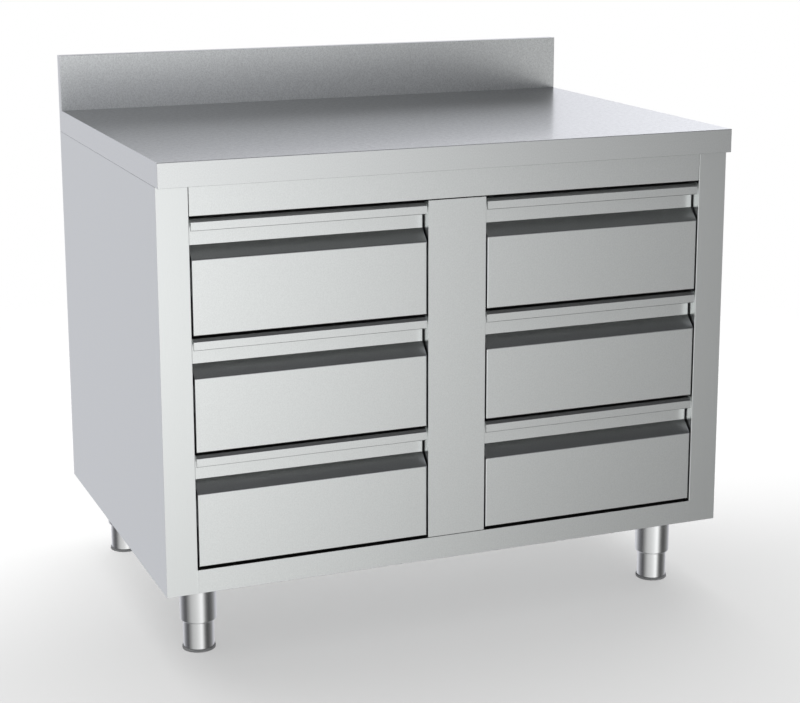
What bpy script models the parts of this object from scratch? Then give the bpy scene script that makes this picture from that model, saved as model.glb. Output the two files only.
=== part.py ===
"""Stainless-steel work table with two columns of drawers, a rear upstand and four levelling legs.

Metres, +Z up. The origin is on the floor under the middle of the table, and the drawers face -Y.
"""
import math

import bmesh
import bpy
from mathutils import Matrix, Vector

# Overall sizes
TABLE_WIDTH = 1.000
TABLE_DEPTH = 0.700
LEG_HEIGHT = 0.128
BODY_HEIGHT = 0.660

# Worktop: a folded sheet over a core board, with a boxed upstand at the back
EDGE_HEIGHT = 0.040
WORKTOP_SHEET = 0.0012
WORKTOP_RETURN = 0.018
UPSTAND_HEIGHT = 0.100
UPSTAND_THICKNESS = 0.020
CORE_THICKNESS = 0.018
FRONT_OVERHANG = 0.0158

# Cabinet sheets
SHEET = 0.001
FOLD_INNER_RADIUS = 0.0005
FOLD_STEPS = 2
FOLD_EDGE_SHARE = 0.49
STILE_WIDTH = 0.0515
JAMB_DEPTH = 0.020
POST_WIDTH = 0.102
TOP_RAIL_HEIGHT = 0.0476
BOTTOM_RAIL_HEIGHT = 0.0392
PANEL_RETURN = 0.025

# Drawer fronts: a flat face, a slope up to the finger grip, and a folded lip over the grip
COLUMNS = ("left", "right")
ROWS = ("top", "middle", "bottom")
FRONT_GAP = 0.005
FRONT_SIDE_GAP = 0.00275
GRIP_DEPTH = 0.020
GRIP_SLOPE_HEIGHT = 0.020
GRIP_HEIGHT = 0.0439
LIP_HEIGHT = 0.014
LIP_CHAMFER = 0.0048
LIP_HEM = 0.009
HEM_GAP = 0.0006
FRONT_SIDE_RETURN = 0.016
FRONT_FOOT_RETURN = 0.026

# Drawer boxes
BOX_RAISE = 0.012
BOX_TOP_DROP = 0.032
BOX_BACK_CLEARANCE = 0.059
BOX_RIM = 0.008

# Telescopic runners: outer, middle and inner C sections nested in one another
RUNNER_HEIGHT = 0.045
RUNNER_THICKNESS = 0.0127
RUNNER_SHEET = 0.0012
RUNNER_SETBACK = 0.002
RUNNER_BACK_CLEARANCE = 0.048
RUNNER_WEB_GAP = 0.0009

# Legs
LEG_INSET_SIDE = 0.074
LEG_INSET_FRONT = 0.088
LEG_INSET_BACK = 0.089
FOOT_RADIUS = 0.0257
FOOT_WALL = 0.002
FOOT_BASE = 0.003
FOOT_ENGAGEMENT = 0.048
SLEEVE_LENGTH = 0.0775
SLEEVE_WALL = 0.002
SLEEVE_COLLAR_WALL = 0.0043
SLEEVE_COLLAR_LENGTH = 0.018
SLEEVE_ROUND = 0.0028
PLATE_SIZE = 0.090
PLATE_THICKNESS = 0.003
PLATE_CORNER = 0.008
PAD_LIP = 0.0021
PAD_HEIGHT = 0.004
PAD_ROUND = 0.001
TURN_STEPS = 32
ROUND_STEPS = 3
SHARP_ANGLE = math.radians(30)

# Gaps between pieces that touch: FIT for seats, SEAM for the joints that show between face sheets
FIT = 0.0003
SEAM = 0.0006

# Places closer than this are one place
SAME_PLACE = 0.00001

# Planes of the cabinet
LEFT = -TABLE_WIDTH / 2
RIGHT = TABLE_WIDTH / 2
WORKTOP_FRONT = -TABLE_DEPTH / 2
BACK = TABLE_DEPTH / 2
BODY_FRONT = WORKTOP_FRONT + FRONT_OVERHANG
BODY_BOTTOM = LEG_HEIGHT
BODY_TOP = BODY_BOTTOM + BODY_HEIGHT
WORKTOP_TOP = BODY_TOP + EDGE_HEIGHT
FLOOR_TOP = BODY_BOTTOM + SHEET
BACK_PANEL_OUT = BACK - SHEET - FIT
FLOOR_BACK = BACK_PANEL_OUT - SHEET - FIT
LINER_BACK = FLOOR_BACK - SHEET - FIT
LINER_FRONT = BODY_FRONT + JAMB_DEPTH + FIT
OPENING_BOTTOM = BODY_BOTTOM + BOTTOM_RAIL_HEIGHT
OPENING_TOP = BODY_TOP - TOP_RAIL_HEIGHT
OPENING_WIDTH = TABLE_WIDTH / 2 - STILE_WIDTH - POST_WIDTH / 2
COLUMN_CENTRE = POST_WIDTH / 2 + OPENING_WIDTH / 2

# Drawer sizes that follow from the opening
FRONT_WIDTH = OPENING_WIDTH - 2 * FRONT_SIDE_GAP
FRONT_HEIGHT = (OPENING_TOP - OPENING_BOTTOM - FRONT_GAP * (len(ROWS) + 1)) / len(ROWS)
FACE_HEIGHT = FRONT_HEIGHT - GRIP_HEIGHT - GRIP_SLOPE_HEIGHT
BOX_FRONT = GRIP_DEPTH + SHEET + FIT
BOX_DEPTH = LINER_BACK - BODY_FRONT - BOX_FRONT - BOX_BACK_CLEARANCE
BOX_WIDTH = OPENING_WIDTH - 2 * RUNNER_THICKNESS
BOX_HEIGHT = FRONT_HEIGHT - BOX_RAISE - BOX_TOP_DROP
RUNNER_FRONT = BOX_FRONT + RUNNER_SETBACK
RUNNER_LENGTH = BOX_DEPTH - RUNNER_SETBACK - RUNNER_BACK_CLEARANCE
RUNNER_LEVEL = BOX_RAISE + BOX_HEIGHT / 2

# Leg sizes that follow from the foot
SLEEVE_RADIUS = FOOT_RADIUS + FIT + SLEEVE_COLLAR_WALL
PLATE_TOP = BODY_BOTTOM - FIT
SLEEVE_BOTTOM = PLATE_TOP - SLEEVE_LENGTH
FOOT_BOTTOM = PAD_HEIGHT + FIT
FOOT_TOP = SLEEVE_BOTTOM + FOOT_ENGAGEMENT


def clear_scene():
    """Removes whatever the scene holds."""
    for item in list(bpy.data.objects):
        bpy.data.objects.remove(item, do_unlink=True)


def finish(name, colour, roughness, metallic):
    """A plain metal or plastic finish."""
    material = bpy.data.materials.new(name)
    material.use_nodes = True
    shader = material.node_tree.nodes["Principled BSDF"]
    shader.inputs["Base Color"].default_value = (*colour, 1.0)
    shader.inputs["Roughness"].default_value = roughness
    shader.inputs["Metallic"].default_value = metallic
    return material


def place(name, mesh, material, parent=None, location=(0, 0, 0)):
    """One named piece of the table, showing a mesh at a place in its parent's frame."""
    piece = bpy.data.objects.new(name, mesh)
    bpy.context.collection.objects.link(piece)
    if material.name not in mesh.materials:
        mesh.materials.append(material)
    piece.parent = parent
    piece.location = location
    return piece


def axis_frame(name, location):
    """An empty on a joint's axis, which carries the pieces that move together."""
    empty = bpy.data.objects.new(name, None)
    bpy.context.collection.objects.link(empty)
    empty.location = location
    return empty


def bent(points, sheet=SHEET):
    """Rounds the corners of a 2-D path, as a press brake bends a sheet that lies to the path's left."""
    path = [Vector(point) for point in points]
    rounded = [path[0]]
    for before, corner, after in zip(path, path[1:], path[2:]):
        back = before - corner
        ahead = after - corner
        towards_sheet = ahead.x * back.y - ahead.y * back.x > 0
        radius = FOLD_INNER_RADIUS + sheet if towards_sheet else FOLD_INNER_RADIUS
        half = back.angle(ahead) / 2
        reach = min(radius / math.tan(half), FOLD_EDGE_SHARE * back.length, FOLD_EDGE_SHARE * ahead.length)
        bend = reach * math.tan(half)
        centre = corner + (back.normalized() + ahead.normalized()).normalized() * bend / math.sin(half)
        start = corner + back.normalized() * reach - centre
        end = corner + ahead.normalized() * reach - centre
        sweep = math.atan2(start.x * end.y - start.y * end.x, start.dot(end))
        for step in range(FOLD_STEPS + 1):
            rounded.append(centre + Matrix.Rotation(sweep * step / FOLD_STEPS, 2) @ start)
    rounded.append(path[-1])
    return rounded


def run_along_x(point, x):
    """A point of a path in the Y-Z plane, at one place along X."""
    return Vector((x, point[0], point[1]))


def run_along_z(point, z):
    """A point of a path in the X-Y plane, at one height."""
    return Vector((point[0], point[1], z))


def run_along_y(point, y):
    """A point of a path in the Z-X plane, at one place along Y."""
    return Vector((point[1], y, point[0]))


def skin(path, place_point, start, end):
    """The skin of a folded sheet: a path run from start to end. The sheet lies to the left of the path."""
    bm = bmesh.new()
    first = [bm.verts.new(place_point(point, start)) for point in path]
    last = [bm.verts.new(place_point(point, end)) for point in path]
    for index in range(len(path) - 1):
        bm.faces.new((first[index], first[index + 1], last[index + 1], last[index]))
    return bm


def rim_edges(bm, test):
    """The open edges of a skin whose two ends both pass a test on their place."""
    return [edge for edge in bm.edges if edge.is_boundary and all(test(vert.co) for vert in edge.verts)]


def fold(bm, edges, move):
    """Folds a flange off open edges, its corners moved by move(place). Returns the flange's free edges."""
    made = bmesh.ops.extrude_edge_only(bm, edges=edges)["geom"]
    corners = [item for item in made if isinstance(item, bmesh.types.BMVert)]
    for corner in corners:
        corner.co += Vector(move(corner.co))
    return [item for item in made if isinstance(item, bmesh.types.BMEdge)
            and item.is_boundary and item.verts[0] in corners and item.verts[1] in corners]


def near(value, target):
    """True where two coordinates are the same place."""
    return abs(value - target) < SAME_PLACE


def evaluated(piece, name):
    """The mesh that a piece's modifiers make. The piece itself is then removed."""
    graph = bpy.context.evaluated_depsgraph_get()
    mesh = bpy.data.meshes.new_from_object(piece.evaluated_get(graph))
    mesh.name = name
    bpy.data.objects.remove(piece, do_unlink=True)
    return mesh


def mesh_object(name, bm):
    """A bmesh as a linked object."""
    mesh = bpy.data.meshes.new(name)
    bm.to_mesh(mesh)
    bm.free()
    piece = bpy.data.objects.new(name, mesh)
    bpy.context.collection.objects.link(piece)
    return piece


def sheet_mesh(name, bm, thickness=SHEET):
    """Gives a skin the thickness of its sheet, on the side away from the skin's normals."""
    piece = mesh_object(name, bm)
    wall = piece.modifiers.new("sheet", "SOLIDIFY")
    wall.solidify_mode = "NON_MANIFOLD"
    wall.nonmanifold_thickness_mode = "CONSTRAINTS"
    wall.nonmanifold_merge_threshold = SAME_PLACE / 10
    wall.thickness = thickness
    wall.offset = -1
    return evaluated(piece, name)


def welded(name, meshes):
    """One closed body from solids that overlap where they are welded."""
    pieces = [bpy.data.objects.new(name, mesh) for mesh in meshes]
    for piece in pieces:
        bpy.context.collection.objects.link(piece)
    for other in pieces[1:]:
        weld = pieces[0].modifiers.new("weld", "BOOLEAN")
        weld.operation = "UNION"
        weld.object = other
    mesh = evaluated(pieces[0], name)
    for other in pieces[1:]:
        bpy.data.objects.remove(other, do_unlink=True)
    return mesh


def box_bmesh(low, high):
    """A rectangular solid between two corners."""
    low = Vector(low)
    high = Vector(high)
    bm = bmesh.new()
    bmesh.ops.create_cube(bm, size=1)
    bmesh.ops.scale(bm, verts=bm.verts, vec=high - low)
    bmesh.ops.translate(bm, verts=bm.verts, vec=(low + high) / 2)
    return bm


def box_mesh(name, low, high):
    """A rectangular solid between two corners, as a mesh."""
    mesh = bpy.data.meshes.new(name)
    bm = box_bmesh(low, high)
    bm.to_mesh(mesh)
    bm.free()
    return mesh


def turned_mesh(name, outline):
    """A solid of revolution about Z from its (radius, height) outline. A point at radius 0 is on the axis."""
    bm = bmesh.new()
    verts = [bm.verts.new((radius, 0, height)) for radius, height in outline]
    edges = [bm.edges.new(pair) for pair in zip(verts, verts[1:])]
    if outline[0][0] > 0:
        edges.append(bm.edges.new((verts[-1], verts[0])))
    bmesh.ops.spin(bm, geom=verts + edges, cent=(0, 0, 0), axis=(0, 0, 1), dvec=(0, 0, 0),
                   angle=2 * math.pi, steps=TURN_STEPS, use_merge=True)
    bmesh.ops.remove_doubles(bm, verts=bm.verts, dist=SAME_PLACE)
    bmesh.ops.recalc_face_normals(bm, faces=bm.faces)
    mesh = bpy.data.meshes.new(name)
    bm.to_mesh(mesh)
    bm.free()
    mesh.shade_smooth()
    mesh.set_sharp_from_angle(angle=SHARP_ANGLE)
    return mesh


def quarter_round(centre, radius, start_degrees):
    """Points of a quarter circle in an outline, turning clockwise from its start angle."""
    points = []
    for step in range(ROUND_STEPS + 1):
        angle = math.radians(start_degrees - 90 * step / ROUND_STEPS)
        points.append((centre[0] + radius * math.cos(angle), centre[1] + radius * math.sin(angle)))
    return points


def worktop_mesh():
    """The worktop's sheet: edge, top, upstand and back in one run of folds, with welded ends and returns."""
    lower = BODY_TOP + FIT
    upstand_front = BACK - UPSTAND_THICKNESS
    upstand_top = WORKTOP_TOP + UPSTAND_HEIGHT
    path = bent([(BACK, lower), (BACK, upstand_top), (upstand_front, upstand_top),
                 (upstand_front, WORKTOP_TOP), (WORKTOP_FRONT, WORKTOP_TOP), (WORKTOP_FRONT, lower)],
                WORKTOP_SHEET)
    bm = skin(path, run_along_x, LEFT, RIGHT)
    for side in (LEFT, RIGHT):
        end = rim_edges(bm, lambda place: near(place.x, side))
        bmesh.ops.contextual_create(bm, geom=end)
    bmesh.ops.recalc_face_normals(bm, faces=bm.faces)

    def inward(place):
        return (-math.copysign(WORKTOP_RETURN, place.x), -math.copysign(WORKTOP_RETURN, place.y), 0)

    fold(bm, rim_edges(bm, lambda place: near(place.z, lower)), inward)
    return sheet_mesh("worktop", bm, WORKTOP_SHEET)


def worktop_core_mesh():
    """The core board, glued under the top sheet."""
    gap = WORKTOP_SHEET + FIT
    top = WORKTOP_TOP - gap
    low = (LEFT + gap, WORKTOP_FRONT + gap, top - CORE_THICKNESS)
    high = (RIGHT - gap, BACK - UPSTAND_THICKNESS, top)
    return box_mesh("worktop_core", low, high)


def side_panel_mesh(side):
    """A side sheet folded into the stile and its jamb at the front, with returns at the back and top."""
    outer = side * TABLE_WIDTH / 2
    inner = outer - side * STILE_WIDTH
    points = [(outer - side * PANEL_RETURN, BACK), (outer, BACK), (outer, BODY_FRONT),
              (inner, BODY_FRONT), (inner, BODY_FRONT + JAMB_DEPTH)]
    bm = skin(bent(points[::-side]), run_along_z, BODY_BOTTOM, BODY_TOP)
    top = rim_edges(bm, lambda place: near(place.x, outer) and near(place.z, BODY_TOP))
    fold(bm, top, lambda place: (-side * PANEL_RETURN, 0, 0))
    return sheet_mesh("side_panel", bm)


def top_rail_mesh():
    """The channel under the worktop, between the stiles."""
    half = TABLE_WIDTH / 2 - STILE_WIDTH - SEAM
    path = bent([(BODY_FRONT + JAMB_DEPTH, BODY_TOP), (BODY_FRONT, BODY_TOP),
                 (BODY_FRONT, OPENING_TOP), (BODY_FRONT + JAMB_DEPTH, OPENING_TOP)])
    return sheet_mesh("top_rail", skin(path, run_along_x, -half, half))


def centre_post_mesh():
    """The channel between the two columns of drawers."""
    half = POST_WIDTH / 2
    path = bent([(-half, BODY_FRONT + JAMB_DEPTH), (-half, BODY_FRONT),
                 (half, BODY_FRONT), (half, BODY_FRONT + JAMB_DEPTH)])
    return sheet_mesh("centre_post", skin(path, run_along_z, OPENING_BOTTOM + SEAM, OPENING_TOP - SEAM))


def bottom_panel_mesh():
    """The cabinet's floor. Its front is folded up into the bottom rail, and its other edges are turned up."""
    rail_half = TABLE_WIDTH / 2 - STILE_WIDTH - SEAM
    floor_half = TABLE_WIDTH / 2 - SHEET - FIT
    path = bent([(BODY_FRONT + JAMB_DEPTH, OPENING_BOTTOM), (BODY_FRONT, OPENING_BOTTOM),
                 (BODY_FRONT, BODY_BOTTOM), (FLOOR_BACK, BODY_BOTTOM)])
    bm = skin(path, run_along_x, -rail_half, rail_half)
    bmesh.ops.bisect_plane(bm, geom=bm.verts[:] + bm.edges[:] + bm.faces[:], dist=SAME_PLACE,
                           plane_co=(0, LINER_FRONT, 0), plane_no=(0, 1, 0))

    def behind_notch(place):
        return place.y > LINER_FRONT - SAME_PLACE and near(place.z, BODY_BOTTOM)

    for side in (-1, 1):
        edge = rim_edges(bm, lambda place: behind_notch(place) and near(place.x, side * rail_half))
        fold(bm, edge, lambda place: (side * (floor_half - rail_half), 0, 0))
    upturn = rim_edges(bm, lambda place: near(abs(place.x), floor_half) or near(place.y, FLOOR_BACK))
    upturn = [edge for edge in upturn if not all(near(vert.co.y, LINER_FRONT) for vert in edge.verts)]
    fold(bm, upturn, lambda place: (0, 0, PANEL_RETURN))
    return sheet_mesh("bottom_panel", bm)


def back_panel_mesh():
    """The plain sheet that closes the back, held by the side panels' returns."""
    half = TABLE_WIDTH / 2 - SHEET - FIT
    top = BODY_TOP - SHEET - FIT
    return box_mesh("back_panel", (-half, BACK_PANEL_OUT - SHEET, BODY_BOTTOM), (half, BACK_PANEL_OUT, top))


def liner_mesh(face, side):
    """An upright sheet that carries runners on its face, with a return along its front and its back."""
    away = face - side * PANEL_RETURN
    points = [(away, LINER_FRONT), (face, LINER_FRONT), (face, LINER_BACK), (away, LINER_BACK)]
    return sheet_mesh("liner", skin(bent(points[::side]), run_along_z, FLOOR_TOP + FIT, BODY_TOP - FIT))


def drawer_front_mesh():
    """The folded front, from the hem behind its lip round the grip and down to its foot return.

    Depth is measured back from the front plane, and height up from the front's lower edge.
    """
    top = FRONT_HEIGHT - SHEET
    lip_bottom = FRONT_HEIGHT - LIP_CHAMFER - LIP_HEIGHT + SHEET
    chamfer = LIP_CHAMFER + SHEET * math.tan(math.radians(45) / 2)
    hem = SHEET + HEM_GAP
    path = bent([
        (hem, lip_bottom + LIP_HEM), (hem, lip_bottom), (SHEET, lip_bottom),
        (SHEET, FRONT_HEIGHT - chamfer), (chamfer, top), (GRIP_DEPTH, top),
        (GRIP_DEPTH, FACE_HEIGHT + GRIP_SLOPE_HEIGHT), (0, FACE_HEIGHT), (0, 0),
        (GRIP_DEPTH + SHEET, 0), (GRIP_DEPTH + SHEET, FRONT_FOOT_RETURN)])
    bm = skin(path, run_along_x, -FRONT_WIDTH / 2, FRONT_WIDTH / 2)
    for side in (-1, 1):
        ends = rim_edges(bm, lambda place: near(place.x, side * FRONT_WIDTH / 2) and near(place.y, 0))
        fold(bm, ends, lambda place: (0, FRONT_SIDE_RETURN, 0))
    return sheet_mesh("drawer_front", bm)


def channel_mesh(name, height, web, mouth):
    """A runner's C section: its web and mouth are distances from the cabinet's wall, with flanges between."""
    low = RUNNER_LEVEL - height / 2
    high = RUNNER_LEVEL + height / 2
    points = [(low, mouth), (low, web), (high, web), (high, mouth)]
    if web > mouth:
        points.reverse()
    path = bent(points, RUNNER_SHEET)
    bm = skin(path, run_along_y, RUNNER_FRONT, RUNNER_FRONT + RUNNER_LENGTH)
    return sheet_mesh(name, bm, RUNNER_SHEET)


def moved_mesh(mesh, matrix, flip=False):
    """A mesh turned or moved, with its faces turned round where the matrix mirrors it."""
    mesh.transform(matrix)
    if flip:
        mesh.flip_normals()
    return mesh


def on_wall(mesh, side):
    """Puts a runner section that was drawn from x = 0 on one wall of the opening, facing into it."""
    if side < 0:
        return moved_mesh(mesh, Matrix.Translation((-OPENING_WIDTH / 2, 0, 0)))
    mirror = Matrix.Scale(-1, 4, (1, 0, 0))
    return moved_mesh(mesh, Matrix.Translation((OPENING_WIDTH / 2, 0, 0)) @ mirror, flip=True)


def outer_runner_mesh(side):
    """The runner member on the cabinet's wall."""
    mouth = RUNNER_THICKNESS - RUNNER_SHEET - 2 * FIT
    return on_wall(channel_mesh("outer_runner", RUNNER_HEIGHT, FIT, mouth), side)


def middle_runner_mesh(side):
    """The runner member between the wall's and the drawer's."""
    height = RUNNER_HEIGHT - 2 * (RUNNER_SHEET + FIT)
    web = FIT + RUNNER_SHEET + RUNNER_WEB_GAP
    mouth = RUNNER_THICKNESS - RUNNER_SHEET - FIT
    return on_wall(channel_mesh("middle_runner", height, web, mouth), side)


def inner_runner_mesh(side):
    """The runner member on the drawer box. Its web is sunk half a sheet into the box's side, as its weld."""
    height = RUNNER_HEIGHT - 4 * (RUNNER_SHEET + FIT)
    web = RUNNER_THICKNESS + SHEET / 2
    mouth = FIT + 2 * (RUNNER_SHEET + RUNNER_WEB_GAP)
    return on_wall(channel_mesh("inner_runner", height, web, mouth), side)


def drawer_box_mesh():
    """The drawer's tray with a turned-in rim, and the inner runner members on its sides."""
    half = BOX_WIDTH / 2
    back = BOX_FRONT + BOX_DEPTH
    bm = bmesh.new()
    corners = [(-half, back), (half, back), (half, BOX_FRONT), (-half, BOX_FRONT)]
    bm.faces.new([bm.verts.new((x, y, BOX_RAISE)) for x, y in corners])
    wall = fold(bm, bm.edges[:], lambda place: (0, 0, BOX_HEIGHT))
    middle = BOX_FRONT + BOX_DEPTH / 2

    def inward(place):
        return (-math.copysign(BOX_RIM, place.x), -math.copysign(BOX_RIM, place.y - middle), 0)

    fold(bm, wall, inward)
    tray = sheet_mesh("drawer_box", bm)
    return welded("drawer_box", [tray, inner_runner_mesh(-1), inner_runner_mesh(1)])


def leg_sleeve_mesh():
    """The leg's tube with a guide collar and a rounded mouth, welded under its mounting plate."""
    wall = SLEEVE_RADIUS - SLEEVE_WALL
    bore = FOOT_RADIUS + FIT
    weld = PLATE_TOP - PLATE_THICKNESS / 2
    collar_top = SLEEVE_BOTTOM + SLEEVE_COLLAR_LENGTH
    round_centre = (SLEEVE_RADIUS - SLEEVE_ROUND, SLEEVE_BOTTOM + SLEEVE_ROUND)
    rounded_mouth = quarter_round(round_centre, SLEEVE_ROUND, 0)
    tube = turned_mesh("leg_sleeve", [
        (SLEEVE_RADIUS, weld), *rounded_mouth, (bore, SLEEVE_BOTTOM), (bore, collar_top),
        (wall, collar_top + SLEEVE_COLLAR_WALL - SLEEVE_WALL), (wall, weld)])
    half = PLATE_SIZE / 2
    bm = box_bmesh((-half, -half, PLATE_TOP - PLATE_THICKNESS), (half, half, PLATE_TOP))
    uprights = [edge for edge in bm.edges if near(edge.verts[0].co.x, edge.verts[1].co.x)
                and near(edge.verts[0].co.y, edge.verts[1].co.y)]
    bmesh.ops.bevel(bm, geom=uprights, offset=PLATE_CORNER, segments=ROUND_STEPS, profile=0.5,
                    affect="EDGES")
    plate = bpy.data.meshes.new("leg_plate")
    bm.to_mesh(plate)
    bm.free()
    return welded("leg_sleeve", [tube, plate])


def foot_mesh():
    """The levelling foot: a cup that telescopes in the sleeve's collar."""
    inner = FOOT_RADIUS - FOOT_WALL
    return turned_mesh("foot", [
        (0, FOOT_BOTTOM), (FOOT_RADIUS, FOOT_BOTTOM), (FOOT_RADIUS, FOOT_TOP), (inner, FOOT_TOP),
        (inner, FOOT_BOTTOM + FOOT_BASE), (0, FOOT_BOTTOM + FOOT_BASE)])


def foot_pad_mesh():
    """The base ring that the foot stands on."""
    radius = FOOT_RADIUS + PAD_LIP
    rounded_top = quarter_round((radius - PAD_ROUND, PAD_HEIGHT - PAD_ROUND), PAD_ROUND, 90)
    return turned_mesh("foot_pad", [(0, PAD_HEIGHT), *rounded_top, (radius, 0), (0, 0)])


def build_cabinet(steel, worktop_steel, board, zinc):
    """The worktop and the fixed sheets of the cabinet."""
    place("worktop", worktop_mesh(), worktop_steel)
    place("worktop_core", worktop_core_mesh(), board)
    place("left_side_panel", side_panel_mesh(-1), steel)
    place("right_side_panel", side_panel_mesh(1), steel)
    place("top_rail", top_rail_mesh(), steel)
    place("centre_post", centre_post_mesh(), steel)
    place("bottom_panel", bottom_panel_mesh(), steel)
    place("back_panel", back_panel_mesh(), steel)
    stile_face = TABLE_WIDTH / 2 - STILE_WIDTH
    place("left_liner", liner_mesh(-stile_face, 1), zinc)
    place("left_partition", liner_mesh(-POST_WIDTH / 2, -1), zinc)
    place("right_partition", liner_mesh(POST_WIDTH / 2, 1), zinc)
    place("right_liner", liner_mesh(stile_face, -1), zinc)


def build_drawers(steel, zinc, runner_steel):
    """Every drawer on its runners, each in a frame at the middle of its front's lower edge."""
    front = drawer_front_mesh()
    box = drawer_box_mesh()
    outer = {side: outer_runner_mesh(side) for side in (-1, 1)}
    middle = {side: middle_runner_mesh(side) for side in (-1, 1)}
    pitch = FRONT_HEIGHT + FRONT_GAP
    for column, centre in zip(COLUMNS, (-COLUMN_CENTRE, COLUMN_CENTRE)):
        for row, name in enumerate(ROWS):
            level = OPENING_TOP - (row + 1) * pitch
            drawer = f"{column}_{name}"
            axis = axis_frame(f"{drawer}_drawer_axis", (centre, BODY_FRONT, level))
            place(f"{drawer}_drawer_front", front, steel, axis)
            place(f"{drawer}_drawer_box", box, zinc, axis)
            for side, hand in ((-1, "l"), (1, "r")):
                place(f"{drawer}_outer_runner_{hand}", outer[side], runner_steel, axis)
                place(f"{drawer}_middle_runner_{hand}", middle[side], runner_steel, axis)


def build_legs(polished, plastic):
    """Four legs, each in a frame on its own upright axis."""
    sleeve = leg_sleeve_mesh()
    foot = foot_mesh()
    pad = foot_pad_mesh()
    for column, x in zip(COLUMNS, (LEFT + LEG_INSET_SIDE, RIGHT - LEG_INSET_SIDE)):
        for end, y in (("front", BODY_FRONT + LEG_INSET_FRONT), ("back", BACK - LEG_INSET_BACK)):
            axis = axis_frame(f"{end}_{column}_leg_axis", (x, y, 0))
            place(f"{end}_{column}_leg_sleeve", sleeve, polished, axis)
            place(f"{end}_{column}_foot", foot, polished, axis)
            place(f"{end}_{column}_foot_pad", pad, plastic, axis)


def build_table():
    """The whole table."""
    clear_scene()
    worktop_steel = finish("brushed_worktop_steel", (0.58, 0.59, 0.60), 0.32, 1.0)
    steel = finish("satin_cabinet_steel", (0.62, 0.63, 0.63), 0.36, 1.0)
    zinc = finish("plain_inner_steel", (0.55, 0.56, 0.57), 0.45, 1.0)
    runner_steel = finish("zinc_plated_runner", (0.60, 0.61, 0.63), 0.30, 1.0)
    polished = finish("polished_leg_steel", (0.66, 0.67, 0.67), 0.18, 1.0)
    plastic = finish("dark_base_plastic", (0.05, 0.05, 0.05), 0.55, 0.0)
    board = finish("pale_core_board", (0.55, 0.42, 0.28), 0.80, 0.0)
    build_cabinet(steel, worktop_steel, board, zinc)
    build_drawers(steel, zinc, runner_steel)
    build_legs(polished, plastic)


build_table()
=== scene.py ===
"""Looks of a stainless-steel work table with drawers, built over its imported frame.

Lengths are in metres and +Z is up. The drawers face -Y and open towards it. A folded sheet is drawn as a
profile, pulled to its length, pressed round along its folds and then given its thickness.
"""

import math

import bmesh
import bpy
from mathutils import Matrix, Vector


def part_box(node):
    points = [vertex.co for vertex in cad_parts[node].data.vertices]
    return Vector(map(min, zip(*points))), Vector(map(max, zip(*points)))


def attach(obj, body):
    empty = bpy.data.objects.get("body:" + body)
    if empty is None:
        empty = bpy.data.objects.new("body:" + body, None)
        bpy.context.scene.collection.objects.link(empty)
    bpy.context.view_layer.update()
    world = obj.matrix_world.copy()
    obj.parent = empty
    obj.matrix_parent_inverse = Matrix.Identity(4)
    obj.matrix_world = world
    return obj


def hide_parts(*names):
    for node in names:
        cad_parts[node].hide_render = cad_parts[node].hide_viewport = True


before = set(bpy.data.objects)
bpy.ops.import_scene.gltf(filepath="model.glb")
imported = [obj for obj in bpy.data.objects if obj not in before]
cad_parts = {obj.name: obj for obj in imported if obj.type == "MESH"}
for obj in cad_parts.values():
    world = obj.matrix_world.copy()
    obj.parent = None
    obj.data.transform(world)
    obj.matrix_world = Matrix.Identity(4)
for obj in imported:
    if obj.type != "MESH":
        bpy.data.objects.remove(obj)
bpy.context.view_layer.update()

bl_info = {
    "name": "Steel Work Table",
    "version": (1, 0, 0),
    "blender": (4, 5, 0),
    "location": "View3D > Sidebar > Work Table",
    "description": "Dresses the frame of a stainless-steel work table with drawers",
    "category": "Add Mesh",
}

CABINET = "cabinet"
DRAWERS = [f"{column}_{row}" for column in ("left", "right") for row in ("top", "middle", "bottom")]
LEGS = [f"{end}_{column}" for end in ("front", "back") for column in ("left", "right")]
# The two sides of a drawer, and the way from each towards its middle
HANDS = {"l": 1, "r": -1}
LEFT, RIGHT = (-1, 0, 0), (1, 0, 0)
FRONT, BACK = (0, -1, 0), (0, 1, 0)
DOWN, UP = (0, 0, -1), (0, 0, 1)

# Angle above which two faces meet in a fold, and below which a round looks smooth
FOLD_ANGLE = math.radians(20)
SHARP_ANGLE = math.radians(35)
# Places closer than this are one place
SAME_PLACE = 0.00001
# How far a skin moves outwards when it is given its thickness
SKIN_GROWTH = Vector((0.00001, 0.00001, 0.00001))
# How much of a normal lies along an axis where a face leans that way, and where it is square to it
LEANING = 0.3
SQUARE = 0.999
# Marks on faces that are pressed folds, and on finishes that are written
FOLD_MARK = "pressed"
WRITTEN_MARK = "written"

# Steps round a turned body, a washer and a rivet
TURN_STEPS = 96
WASHER_STEPS = 32
RIVET_STEPS = 24
# Where the rivets sit, in shares of a drawer box's width and of its runners' length
RIVETS_ACROSS = (0.15, 0.5, 0.85)
RIVETS_ALONG = (0.08, 0.5, 0.92)
# A blind rivet's head with its mandrel's pit, in shares of its radius and height
RIVET_OUTLINE = ((0, 0), (1, 0), (0.95, 0.4), (0.7, 0.85), (0.4, 1), (0.32, 0.95), (0.28, 0.5), (0, 0.5))

# Scales of the brushed strokes along X, Y and Z, small along the brushing
WORKTOP_BRUSHING = (14.0, 900.0, 900.0)
CABINET_BRUSHING = (700.0, 700.0, 45.0)
# The middle of a pattern's values and of a blend
HALF = 0.5

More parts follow.
